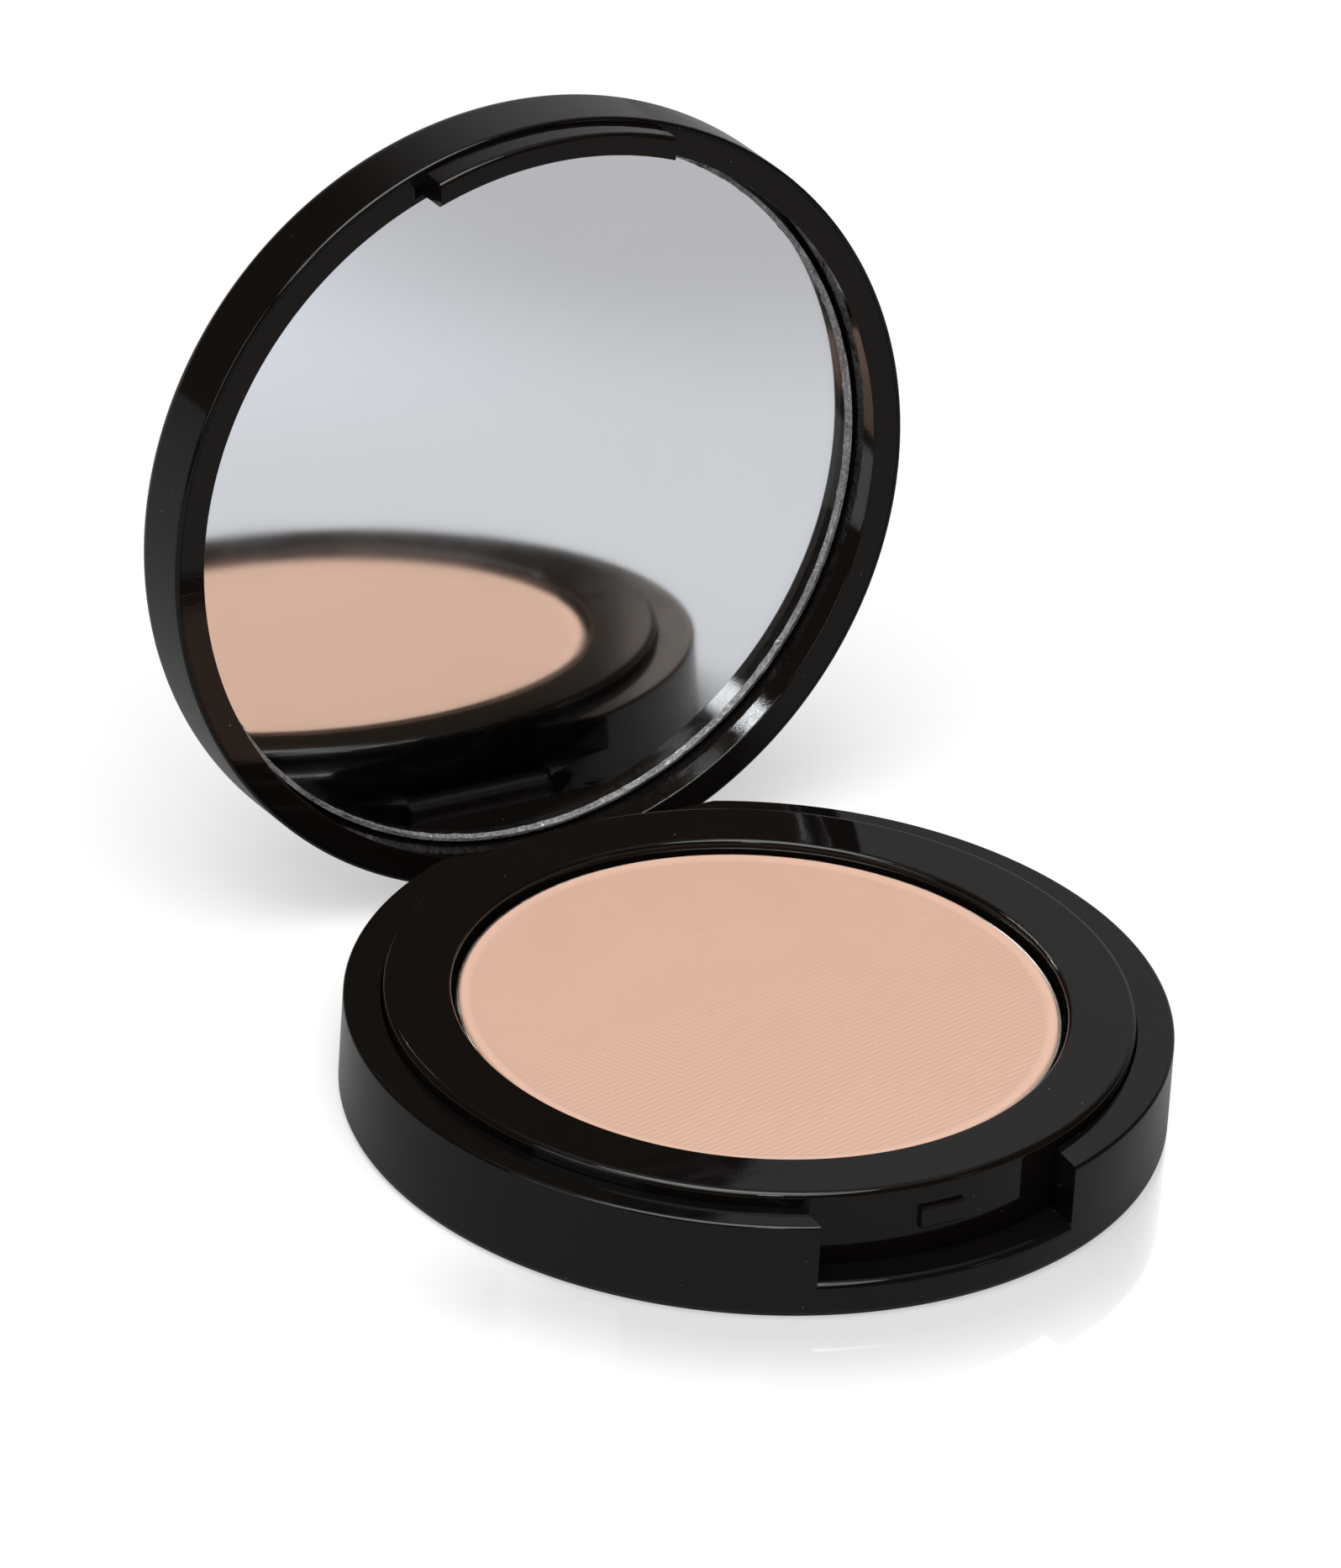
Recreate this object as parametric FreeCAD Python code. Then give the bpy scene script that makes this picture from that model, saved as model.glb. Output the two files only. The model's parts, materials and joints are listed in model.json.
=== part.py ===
import FreeCAD, Part

import math
import os

# Round pressed-powder compact, standing open on a flat surface.
#
# Frame: +Z up, the origin is the centre of the base's flat underside, -Y is the front
# (thumb notch and latch), and the hinge runs along X at the back.  All sizes are millimetres.
# The lid is drawn closed over the base, then turned back about the hinge pin to its open stop.

# ---------------------------------------------------------------- driving dimensions
# whole compact
body_r = 37.5            # outside radius of base and lid
base_h = 9.6             # table to the rim of the base
lid_h = 8.0              # ring face to the outside of the lid
open_angle = 96.5        # degrees from closed to the stop

# base shell
floor_t = 1.25
base_wall_t = 3.35
base_edge_r = 1.0        # rounded bottom edge
rim_edge_r = 0.35        # broken edge of the rim
notch_half = 12.9        # half width of the thumb notch
lip_h = 3.65             # table to the top of the thumb lip
lip_edge_r = 0.7

# insert that carries the pan
insert_gap = 0.15        # insert to shell wall
insert_rise = 1.3        # insert's top above the rim
insert_plate_t = 1.2
insert_skirt_t = 1.1
insert_edge_r = 0.6
insert_ring_w = 6.2      # insert's flat top, from its outside to the pan well
well_wall_t = 1.0
well_floor_t = 1.1
well_edge_r = 0.45
catch_half = 2.2         # half width of the catch on the skirt
catch_proud = 0.5
catch_h = 2.1
catch_drop = 1.1         # rim to the top of the catch
catch_edge_r = 0.2

# pan, powder and tapes
pan_gap = 0.45           # pan to well wall, all round
pan_t = 0.35
pan_h = 4.3
pan_drop = 1.15          # insert's top to the pan's rim
pan_edge_r = 0.6
cake_rise = 0.1          # powder's top above the pan's rim
cake_edge_r = 0.08
tape_t = 0.15
pan_tape_inset = 7.35    # pan's outside to the tape's edge

# label under the base, let in flush
label_inset = 20.0       # body's outside to the label's edge
label_t = 0.15
label_gap = 0.3

# hinge
hinge_inset = 2.3        # body's outside to the pin's centre
hinge_z = 3.9            # table to the pin
pin_r = 0.6
pin_cover = 0.342        # plastic left outside the pin at its ends
pin_chamfer = 0.15
pin_running_gap = 0.05   # radial, in the lid's knuckle
knuckle_half = 7.3
knuckle_side_gap = 0.2
ear_r = 2.4              # rounded top of the base beside the knuckle
ear_gap = 0.15
rear_web_t = 0.35        # wall left behind the insert at the middle of the rear flat
rear_gap = 0.15          # lug to rear flat
stop_gap = 0.05
pocket_gap = 0.5         # insert's skirt to the knuckle

# lid
lid_gap = 0.1            # rim to ring face when shut
cover_wall_t = 1.5
cover_top_t = 1.5
cover_edge_r = 2.0
cover_inner_r = 0.5
cover_lip_t = 0.45       # thin lip round the mirror frame
cover_lip_h = 1.6
frame_fit_gap = 0.05     # mirror frame inside the cover
ring_w = 2.9             # flat face between lip's outside and mirror recess
frame_back_gap = 0.45    # mirror frame to the cover's inside
frame_floor_t = 1.1
frame_edge_r = 0.15
mirror_t = 1.5
mirror_gap = 0.3
mirror_bevel = 0.2
mirror_tape_inset = 4.3  # mirror's edge to the tape's edge

# latch tab on the lid
tab_side_gap = 0.9       # end of the tab to the side of the notch when shut
tab_depth = 3.0
tab_in = 2.7             # body's outside to the tab's inner face
tab_edge_r = 0.45
tab_inner_edge_r = 0.3
relief_w = 1.1           # sink-mark relief beside each end of the tab
relief_h = 1.0
relief_wall = 0.7

# ---------------------------------------------------------------- places that follow
shell_in_r = body_r - base_wall_t
insert_r = shell_in_r - insert_gap
insert_top = base_h + insert_rise
well_r = insert_r - insert_ring_w
pan_r = well_r - pan_gap
pan_tape_r = pan_r - pan_tape_inset
pan_top = insert_top - pan_drop
pan_z = pan_top - pan_h
well_floor = pan_z - tape_t
cake_r = pan_r - pan_t
label_r = body_r - label_inset
rear_flat_y = shell_in_r + rear_web_t
hinge_y = body_r - hinge_inset
pin_half = math.sqrt(body_r**2 - (hinge_y + pin_r + pin_cover) ** 2)

ring_z = base_h + lid_gap
frame_r = body_r - cover_lip_t - frame_fit_gap
recess_r = body_r - ring_w
cover_in_r = body_r - cover_wall_t
mirror_r = recess_r - mirror_gap
mirror_tape_r = mirror_r - mirror_tape_inset
tab_half = notch_half - tab_side_gap
recess_h = lid_h - cover_top_t - frame_back_gap - frame_floor_t - tape_t - mirror_t
mirror_z = ring_z + recess_h
mirror_tape_z = mirror_z + mirror_t
frame_floor_z = mirror_tape_z + tape_t
frame_top = frame_floor_z + frame_floor_t
lid_top = ring_z + lid_h
flange_top = ring_z + cover_lip_h

knuckle_r = frame_r - hinge_y
lug_y = rear_flat_y + rear_gap
slot_half = knuckle_half + knuckle_side_gap
lean = math.radians(open_angle - 90.0)
# Height at which the open lid's lug crosses the back of the base: it rests on the wall there.
lug_run = (body_r - hinge_y + knuckle_r * math.sin(lean)) / math.cos(lean)
slot_floor = hinge_z - knuckle_r * math.cos(lean) - lug_run * math.sin(lean) - stop_gap

OVER = 1.0               # how far cutting tools run past the faces they cut
AXIS_X = FreeCAD.Vector(1, 0, 0)


# ---------------------------------------------------------------- helpers
def disc(r, z0, z1):
    return Part.makeCylinder(r, z1 - z0, FreeCAD.Vector(0, 0, z0))


def tube(r_in, r_out, z0, z1):
    return disc(r_out, z0, z1).cut(disc(r_in, z0, z1))


def block(x0, x1, y0, y1, z0, z1):
    return Part.makeBox(x1 - x0, y1 - y0, z1 - z0, FreeCAD.Vector(x0, y0, z0))


def rod_on_hinge(r, x0, x1):
    return Part.makeCylinder(r, x1 - x0, FreeCAD.Vector(x0, hinge_y, hinge_z), AXIS_X)


def arcs_at(shape, r, z):
    """Edges of the shape that run round the centre line at one radius and height."""
    found = []
    for edge in shape.Edges:
        curve = edge.Curve
        if not isinstance(curve, Part.Circle) or abs(abs(curve.Axis.z) - 1) > 1e-6:
            continue
        centred = math.hypot(curve.Center.x, curve.Center.y) < 1e-6
        if centred and abs(curve.Radius - r) < 1e-6 and abs(curve.Center.z - z) < 1e-6:
            found.append(edge)
    return found


def rounded(shape, size, r, z):
    return shape.makeFillet(size, arcs_at(shape, r, z))


# ---------------------------------------------------------------- base
def base_shell():
    shell = disc(body_r, 0, base_h).cut(disc(shell_in_r, floor_t, base_h))
    shell = rounded(shell, base_edge_r, body_r, 0)
    shell = rounded(shell, rim_edge_r, body_r, base_h)
    shell = shell.cut(disc(label_r + label_gap, 0, label_t))
    shell = shell.cut(thumb_notch())
    shell = rounded(shell, lip_edge_r, body_r, lip_h)
    shell = shell.cut(rear_relief())
    shell = shell.cut(knuckle_slot())
    return shell.cut(pin_hole())


def thumb_notch():
    """Gap through the front wall, open at the rim, down to the thumb lip."""
    reach = shell_in_r * math.cos(math.asin(notch_half / shell_in_r))
    return block(-notch_half, notch_half, -body_r - OVER, -reach + OVER, lip_h, base_h + OVER)


def rear_relief():
    """Flat across the back of the rim; the wall below it is rounded about the pin."""
    behind = block(-body_r, body_r, rear_flat_y, body_r + OVER, hinge_z, base_h + OVER)
    return behind.cut(rod_on_hinge(ear_r, -body_r, body_r))


def knuckle_slot():
    reach = shell_in_r * math.cos(math.asin(slot_half / shell_in_r))
    return block(-slot_half, slot_half, reach - OVER, body_r + OVER, slot_floor, base_h + OVER)


def pin_hole():
    """Blind on the left, open to the outside on the right, where the pin is pressed in."""
    return rod_on_hinge(pin_r, -pin_half, body_r)


def hinge_pin():
    pin = rod_on_hinge(pin_r, -pin_half, pin_half)
    ends = [e for e in pin.Edges if isinstance(e.Curve, Part.Circle)]
    return pin.makeChamfer(pin_chamfer, ends)


def base_label():
    return disc(label_r, 0, label_t)


# ---------------------------------------------------------------- insert, pan and powder
def pan_insert():
    well_out_r = well_r + well_wall_t
    insert = rounded(disc(insert_r, floor_t, insert_top), insert_edge_r, insert_r, insert_top)
    insert = insert.cut(disc(well_r, well_floor, insert_top))
    insert = rounded(insert, well_edge_r, well_r, insert_top)
    channel = tube(well_out_r, insert_r - insert_skirt_t, floor_t, insert_top - insert_plate_t)
    insert = insert.cut(channel)
    insert = insert.cut(disc(well_out_r, floor_t, well_floor - well_floor_t))
    insert = insert.fuse(catch()).removeSplitter()
    return insert.cut(knuckle_pocket())


def catch():
    """Small raised bar on the front of the skirt that the latch tab snaps over."""
    top = base_h - catch_drop
    bar_r = insert_r + catch_proud
    bar = tube(insert_r - insert_skirt_t / 2, bar_r, top - catch_h, top)
    bar = bar.common(block(-catch_half, catch_half, -bar_r - OVER, 0, 0, base_h))
    return bar.makeFillet(catch_edge_r, arcs_at(bar, bar_r, top) + arcs_at(bar, bar_r, top - catch_h))


def knuckle_pocket():
    half = slot_half + pocket_gap
    depth_y = hinge_y - knuckle_r - pocket_gap
    top = hinge_z + knuckle_r + pocket_gap
    return block(-half, half, min(depth_y, insert_r - 2 * insert_skirt_t), body_r, 0, top)


def powder_pan():
    pan = rounded(disc(pan_r, pan_z, pan_top), pan_edge_r, pan_r, pan_z)
    return pan.cut(cake_blank(pan_top))


def cake_blank(top):
    """Powder's outline: it fills the pan down to the rounded corner."""
    blank = disc(cake_r, pan_z + pan_t, top)
    return rounded(blank, max(pan_edge_r - pan_t, cake_edge_r), cake_r, pan_z + pan_t)


def powder_cake():
    top = pan_top + cake_rise
    return rounded(cake_blank(top), cake_edge_r, cake_r, top)


def pan_tape():
    return disc(pan_tape_r, well_floor, pan_z)


# ---------------------------------------------------------------- lid, drawn closed
def lid_cover():
    cover = rounded(disc(body_r, ring_z, lid_top), cover_edge_r, body_r, lid_top)
    cover = rounded(cover, rim_edge_r, body_r, ring_z)
    hollow_top = lid_top - cover_top_t
    hollow = rounded(disc(cover_in_r, ring_z, hollow_top), cover_inner_r, cover_in_r, hollow_top)
    cover = cover.cut(hollow)
    return cover.cut(disc(body_r - cover_lip_t, ring_z, flange_top))


def mirror_frame():
    frame = disc(frame_r, ring_z, flange_top)
    frame = frame.fuse(disc(cover_in_r - frame_fit_gap, ring_z, frame_top)).removeSplitter()
    frame = frame.cut(disc(recess_r, ring_z, frame_floor_z))
    frame = rounded(frame, frame_edge_r, recess_r, ring_z)
    frame = frame.fuse(latch_tab()).fuse(hinge_lug()).removeSplitter()
    for side in (-1, 1):
        frame = frame.cut(tab_relief(side))
    return frame


def latch_tab():
    """Curved tongue under the front of the ring; it drops into the thumb notch."""
    tip = ring_z - tab_depth
    # The tongue starts inside the ring, so that the two are one moulding.
    tab = tube(body_r - tab_in, frame_r, tip, ring_z + relief_h)
    tab = tab.common(block(-tab_half, tab_half, -body_r, 0, tip, lid_top))
    tab = rounded(tab, tab_edge_r, frame_r, tip)
    return rounded(tab, tab_inner_edge_r, body_r - tab_in, tip)


def tab_relief(side):
    x0 = side * tab_half
    x1 = side * (tab_half + relief_w)
    sector = block(min(x0, x1), max(x0, x1), -body_r, 0, ring_z, ring_z + relief_h)
    return tube(body_r - tab_in + relief_wall / 2, frame_r - relief_wall, ring_z,
                ring_z + relief_h).common(sector)


def hinge_lug():
    """Rear flap of the lid: full width above the base's rounded top, one knuckle on the pin."""
    outline = disc(frame_r, 0, ring_z + cover_lip_h)
    flap = block(-body_r, body_r, lug_y, body_r, hinge_z, ring_z + cover_lip_h / 2)
    flap = flap.cut(rod_on_hinge(ear_r + ear_gap, -body_r, body_r))
    neck = block(-knuckle_half, knuckle_half, lug_y, body_r, hinge_z, ring_z)
    neck = neck.fuse(rod_on_hinge(knuckle_r, -knuckle_half, knuckle_half))
    lug = flap.fuse(neck).common(outline)
    return lug.cut(rod_on_hinge(pin_r + pin_running_gap, -body_r, body_r))


def mirror():
    glass = disc(recess_r - mirror_gap, mirror_z, mirror_tape_z)
    return glass.makeChamfer(mirror_bevel, arcs_at(glass, recess_r - mirror_gap, mirror_z))


def mirror_tape():
    return disc(mirror_tape_r, mirror_tape_z, frame_floor_z)


def opened(shape):
    turned = shape.copy()
    turned.rotate(FreeCAD.Vector(0, hinge_y, hinge_z), AXIS_X, -open_angle)
    return turned


# ---------------------------------------------------------------- write the pieces
base_pieces = {
    "base_shell": base_shell(),
    "pan_insert": pan_insert(),
    "powder_pan": powder_pan(),
    "powder_cake": powder_cake(),
    "pan_tape": pan_tape(),
    "base_label": base_label(),
    "hinge_pin": hinge_pin(),
}
lid_pieces = {
    "lid_cover": lid_cover(),
    "mirror_frame": mirror_frame(),
    "mirror": mirror(),
    "mirror_tape": mirror_tape(),
}

os.makedirs("parts", exist_ok=True)
pieces = dict(base_pieces)
for name, shape in lid_pieces.items():
    pieces[name] = opened(shape)
for name, shape in pieces.items():
    shape.exportStep("parts/" + name + ".step")
    solids = len(shape.Solids)
    box = shape.BoundBox
    print("%-13s solids %d valid %s volume %9.2f  z %.3f to %.3f  y %.2f to %.2f"
          % (name, solids, shape.isValid(), shape.Volume, box.ZMin, box.ZMax, box.YMin, box.YMax))
print("slot floor %.3f, knuckle radius %.3f" % (slot_floor, knuckle_r))
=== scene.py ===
import json
import math

import bmesh
import bpy
import numpy as np
from mathutils import Matrix, Vector


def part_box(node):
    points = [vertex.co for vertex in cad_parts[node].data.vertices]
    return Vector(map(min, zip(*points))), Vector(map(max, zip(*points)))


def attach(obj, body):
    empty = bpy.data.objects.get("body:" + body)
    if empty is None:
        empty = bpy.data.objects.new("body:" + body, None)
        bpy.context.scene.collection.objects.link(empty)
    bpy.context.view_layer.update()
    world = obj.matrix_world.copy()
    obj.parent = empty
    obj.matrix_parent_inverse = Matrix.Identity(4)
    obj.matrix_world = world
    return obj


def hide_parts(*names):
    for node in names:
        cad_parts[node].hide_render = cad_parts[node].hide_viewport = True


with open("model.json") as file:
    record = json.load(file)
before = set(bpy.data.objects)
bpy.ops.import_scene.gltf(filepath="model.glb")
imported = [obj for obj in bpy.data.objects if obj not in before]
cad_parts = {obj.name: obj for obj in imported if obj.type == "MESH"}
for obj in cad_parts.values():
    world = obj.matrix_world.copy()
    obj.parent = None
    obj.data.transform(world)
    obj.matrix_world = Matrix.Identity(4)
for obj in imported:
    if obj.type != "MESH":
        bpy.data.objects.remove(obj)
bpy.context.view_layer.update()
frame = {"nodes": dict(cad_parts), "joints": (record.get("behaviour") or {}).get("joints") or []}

MM = 0.001

# ---------------------------------------------------------------- where things are
NODES = frame["nodes"]
HINGE = frame["joints"][0]
PIN = Vector(HINGE["pos_m"])
OPEN_TURN = math.radians(HINGE["range_deg"][1])
# The compact stands open at rest: lid pieces are made shut, then turned back about the pin.
OPENING = (Matrix.Translation(PIN) @ Matrix.Rotation(-OPEN_TURN, 4, "X")
           @ Matrix.Translation(-PIN))


def shut_box(node):
    """Lowest and highest corner of a lid node with the lid shut."""
    back = OPENING.inverted()
    corners = np.array([back @ v.co for v in NODES[node].data.vertices])
    return Vector(corners.min(0)), Vector(corners.max(0))


# ---------------------------------------------------------------- shader node helpers
def new_material(name):
    material = bpy.data.materials.new(name)
    material.use_nodes = True
    tree = material.node_tree
    return material, tree, tree.nodes["Principled BSDF"]


def add(tree, kind, **settings):
    node = tree.nodes.new(kind)
    for key, value in settings.items():
        if key in node.inputs.keys():
            node.inputs[key].default_value = value
        else:
            setattr(node, key, value)
    return node


def math_node(tree, operation, *values):
    node = tree.nodes.new("ShaderNodeMath")
    node.operation = operation
    for socket, value in zip(node.inputs, values):
        if isinstance(value, (int, float)):
            socket.default_value = value
        else:
            tree.links.new(value, socket)
    return node.outputs[0]


def ramp(tree, value, low, high, to_low=0.0, to_high=1.0, smooth=True):
    node = tree.nodes.new("ShaderNodeMapRange")
    node.interpolation_type = "SMOOTHSTEP" if smooth else "LINEAR"
    for name, number in (("From Min", low), ("From Max", high), ("To Min", to_low), ("To Max", to_high)):
        node.inputs[name].default_value = number
    tree.links.new(value, node.inputs["Value"])
    return node.outputs["Result"]


def blend_colour(tree, factor, first, second):
    node = tree.nodes.new("ShaderNodeMix")
    node.data_type = "RGBA"
    for socket, value in ((node.inputs[0], factor), (node.inputs[6], first), (node.inputs[7], second)):
        if isinstance(value, (int, float)):
            socket.default_value = value
        elif isinstance(value, (tuple, list)):
            socket.default_value = (*value[:3], 1.0)
        else:
            tree.links.new(value, socket)
    return node.outputs[2]


def noise(tree, coords, scale, detail=2.0, roughness=0.5, stretch=None, turn=(0, 0, 0)):
    """Noise over the piece's own coordinates, scale in cycles per metre."""
    vector = coords
    if stretch:
        mapping = add(tree, "ShaderNodeMapping")
        mapping.inputs["Rotation"].default_value = turn
        mapping.inputs["Scale"].default_value = stretch
        tree.links.new(coords, mapping.inputs["Vector"])
        vector = mapping.outputs["Vector"]
    node = add(tree, "ShaderNodeTexNoise", Scale=scale, Detail=detail, Roughness=roughness)
    tree.links.new(vector, node.inputs["Vector"])
    return node.outputs["Fac"]


def specks(tree, coords, scale, size, share):
    """Mask of small round grains: one per Voronoi cell, in the given share of the cells."""
    node = add(tree, "ShaderNodeTexVoronoi", Scale=scale)
    tree.links.new(coords, node.inputs["Vector"])
    near = ramp(tree, node.outputs["Distance"], size * 0.6, size, 1.0, 0.0)
    split = tree.nodes.new("ShaderNodeSeparateColor")
    tree.links.new(node.outputs["Color"], split.inputs[0])
    chosen = ramp(tree, split.outputs[0], share - 0.001, share, 1.0, 0.0, smooth=False)
    return math_node(tree, "MULTIPLY", near, chosen)


def new_group(name, inputs, outputs):
    """A shader node group with named sockets: inputs are (name, kind, default)."""
    tree = bpy.data.node_groups.new(name, "ShaderNodeTree")
    for label, kind, default in inputs:
        socket = tree.interface.new_socket(label, in_out="INPUT", socket_type="NodeSocket" + kind)
        if default is not None:
            socket.default_value = default
    for label, kind in outputs:
        tree.interface.new_socket(label, in_out="OUTPUT", socket_type="NodeSocket" + kind)
    return tree, tree.nodes.new("NodeGroupInput").outputs, tree.nodes.new("NodeGroupOutput").inputs


def place(tree, group, coords, **values):
    node = tree.nodes.new("ShaderNodeGroup")
    node.node_tree = group
    tree.links.new(coords, node.inputs["Coordinates"])
    for key, value in values.items():
        node.inputs[key.replace("_", " ")].default_value = value
    return node.outputs


def distance_from_axis(tree, x, y):
    squares = math_node(tree, "ADD", math_node(tree, "MULTIPLY", x, x), math_node(tree, "MULTIPLY", y, y))
    return math_node(tree, "SQRT", squares)


def own_coordinates(tree):
    return tree.nodes.new("ShaderNodeTexCoord").outputs["Object"]


def raise_surface(tree, bsdf, height, distance, strength=1.0):
    bump = add(tree, "ShaderNodeBump", Strength=strength, Distance=distance)
    tree.links.new(height, bump.inputs["Height"])
    tree.links.new(bump.outputs["Normal"], bsdf.inputs["Normal"])


# ---------------------------------------------------------------- effects used by several finishes
def handling_marks_group():
    """Finger smears, hairline scratches and settled dust on a polished surface."""
    tree, given, out = new_group(
        "handling_marks",
        [("Coordinates", "Vector", None), ("Smear Amount", "Float", 0.5),
         ("Scratch Amount", "Float", 0.5), ("Dust Amount", "Float", 0.5)],
        [("Smear", "Float"), ("Scratch", "Float"), ("Dust", "Float")])
    coords = given["Coordinates"]
    broad = noise(tree, coords, 70, 3.0, 0.6)
    streaky = noise(tree, coords, 160, 2.0, 0.5, stretch=(1.0, 3.5, 3.5), turn=(0.3, 0.2, 0.7))
    smear = math_node(tree, "MULTIPLY", ramp(tree, broad, 0.45, 0.7), ramp(tree, streaky, 0.3, 0.7))
    tree.links.new(math_node(tree, "MULTIPLY", smear, given["Smear Amount"]), out["Smear"])
    lines = None
    for turn in ((0.1, 0.2, 0.35), (0.2, -0.1, 1.25), (1.1, 0.3, 2.3)):
        fine = noise(tree, coords, 1.0, 0.0, 0.5, stretch=(60, 5200, 5200), turn=turn)
        patchy = noise(tree, coords, 110, 1.0, 0.5, stretch=(1, 1, 1), turn=turn)
        one = math_node(tree, "MULTIPLY", ramp(tree, fine, 0.73, 0.79), ramp(tree, patchy, 0.5, 0.62))
        lines = one if lines is None else math_node(tree, "MAXIMUM", lines, one)
    tree.links.new(math_node(tree, "MULTIPLY", lines, given["Scratch Amount"]), out["Scratch"])
    dust = math_node(tree, "MAXIMUM", specks(tree, coords, 620, 0.045, 0.10),
                     specks(tree, coords, 1500, 0.07, 0.05))
    tree.links.new(math_node(tree, "MULTIPLY", dust, given["Dust Amount"]), out["Dust"])
    return tree


def moulding_group():
    """Faint flow waviness and the fine texture of a polished steel mould."""
    tree, given, out = new_group(
        "moulding_skin",
        [("Coordinates", "Vector", None), ("Flow Scale", "Float", 60.0), ("Skin Scale", "Float", 4200.0)],
        [("Height", "Float")])
    parts = []
    for name, share in (("Flow Scale", 0.85), ("Skin Scale", 0.15)):
        node = add(tree, "ShaderNodeTexNoise", Detail=1.5)
        tree.links.new(given["Coordinates"], node.inputs["Vector"])
        tree.links.new(given[name], node.inputs["Scale"])
        parts.append(math_node(tree, "MULTIPLY", node.outputs["Fac"], share))
    tree.links.new(math_node(tree, "ADD", *parts), out["Height"])
    return tree


def grain_group():
    """Fine irregular grain and broader patches, for powder, ground glass and paper."""
    tree, given, out = new_group(
        "fine_grain",
        [("Coordinates", "Vector", None), ("Grain Scale", "Float", 5000.0),
         ("Patch Scale", "Float", 180.0)],
        [("Grain", "Float"), ("Patch", "Float")])
    for name, label, detail in (("Grain Scale", "Grain", 3.0), ("Patch Scale", "Patch", 4.0)):
        node = add(tree, "ShaderNodeTexNoise", Detail=detail, Roughness=0.6)
        tree.links.new(given["Coordinates"], node.inputs["Vector"])
        tree.links.new(given[name], node.inputs["Scale"])
        tree.links.new(node.outputs["Fac"], out[label])
    return tree


# Cloth imprint in the powder, used for its shape and for painted shade between its ribs.
RIB_PITCH = 0.6 * MM
RIB_SLANT = math.radians(36.6)           # ribs to the cloth's own edge
CLOTH_TURN = math.radians(-23.5)
CLOTH_CORNER = (-12.5 * MM, -8.5 * MM)   # where the rib direction changes
CLEAR_FRONT, WORN_BACK = -6 * MM, 15 * MM   # the imprint is crisp in front and faint at the back


def cloth_imprint_group():
    """Twill ribs pressed into the powder; they turn back across two lines."""
    tree, given, out = new_group(
        "cloth_imprint",
        [("Coordinates", "Vector", None), ("Pitch", "Float", RIB_PITCH)],
        [("Rib", "Float"), ("Clear", "Float")])
    split = tree.nodes.new("ShaderNodeSeparateXYZ")
    tree.links.new(given["Coordinates"], split.inputs[0])
    x = math_node(tree, "SUBTRACT", split.outputs[0], CLOTH_CORNER[0])
    y = math_node(tree, "SUBTRACT", split.outputs[1], CLOTH_CORNER[1])
    cos_turn, sin_turn = math.cos(CLOTH_TURN), math.sin(CLOTH_TURN)
    along = math_node(tree, "ADD", math_node(tree, "MULTIPLY", x, cos_turn),
                      math_node(tree, "MULTIPLY", y, sin_turn))
    across = math_node(tree, "SUBTRACT", math_node(tree, "MULTIPLY", y, cos_turn),
                       math_node(tree, "MULTIPLY", x, sin_turn))
    turned = math_node(tree, "MULTIPLY", math_node(tree, "LESS_THAN", along, 0.0),
                       math_node(tree, "GREATER_THAN", across, 0.0))
    sign = math_node(tree, "SUBTRACT", math_node(tree, "MULTIPLY", turned, 2.0), 1.0)
    slope = math_node(tree, "MULTIPLY", math_node(tree, "MULTIPLY", along, sign), math.sin(RIB_SLANT))
    run = math_node(tree, "ADD", slope, math_node(tree, "MULTIPLY", across, math.cos(RIB_SLANT)))
    turns = math_node(tree, "MULTIPLY", math_node(tree, "DIVIDE", run, given["Pitch"]), 2 * math.pi)
    wave = math_node(tree, "MULTIPLY", math_node(tree, "COSINE", turns), 0.5)
    tree.links.new(math_node(tree, "ADD", wave, 0.5), out["Rib"])
    tree.links.new(ramp(tree, split.outputs[1], WORN_BACK, CLEAR_FRONT, 0.35, 1.0), out["Clear"])
    return tree


HANDLING = handling_marks_group()
IMPRINT = cloth_imprint_group()
MOULDING = moulding_group()
GRAIN = grain_group()


# ---------------------------------------------------------------- finishes
PLASTIC_IOR = 1.37
GLASS_IOR = 1.5
DUST_COLOUR = (0.32, 0.29, 0.27)
MICA_COLOUR = (0.95, 0.80, 0.68)


def black_plastic(name, colour, low_rough, high_rough, smear, scratch, dust):
    """Polished black moulding with handling marks."""
    material, tree, bsdf = new_material(name)
    coords = own_coordinates(tree)
    marks = place(tree, HANDLING, coords, Smear_Amount=smear, Scratch_Amount=scratch, Dust_Amount=dust)
    skin = place(tree, MOULDING, coords)
    cloudy = noise(tree, coords, 45, 2.0)
    body = blend_colour(tree, cloudy, colour, [c * 1.5 for c in colour])
    shade = blend_colour(tree, marks["Dust"], body, DUST_COLOUR)
    tree.links.new(shade, bsdf.inputs["Base Color"])
    worn = math_node(tree, "MAXIMUM", marks["Smear"], marks["Scratch"])
    worn = math_node(tree, "MAXIMUM", worn, marks["Dust"])
    tree.links.new(ramp(tree, worn, 0.0, 1.0, low_rough, high_rough, smooth=False),
                   bsdf.inputs["Roughness"])
    bsdf.inputs["IOR"].default_value = PLASTIC_IOR
    height = math_node(tree, "SUBTRACT", skin["Height"],
                       math_node(tree, "MULTIPLY", marks["Scratch"], 0.3))
    height = math_node(tree, "ADD", height, math_node(tree, "MULTIPLY", marks["Dust"], 0.6))
    raise_surface(tree, bsdf, height, 0.00002, 0.55)
    return material


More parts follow.
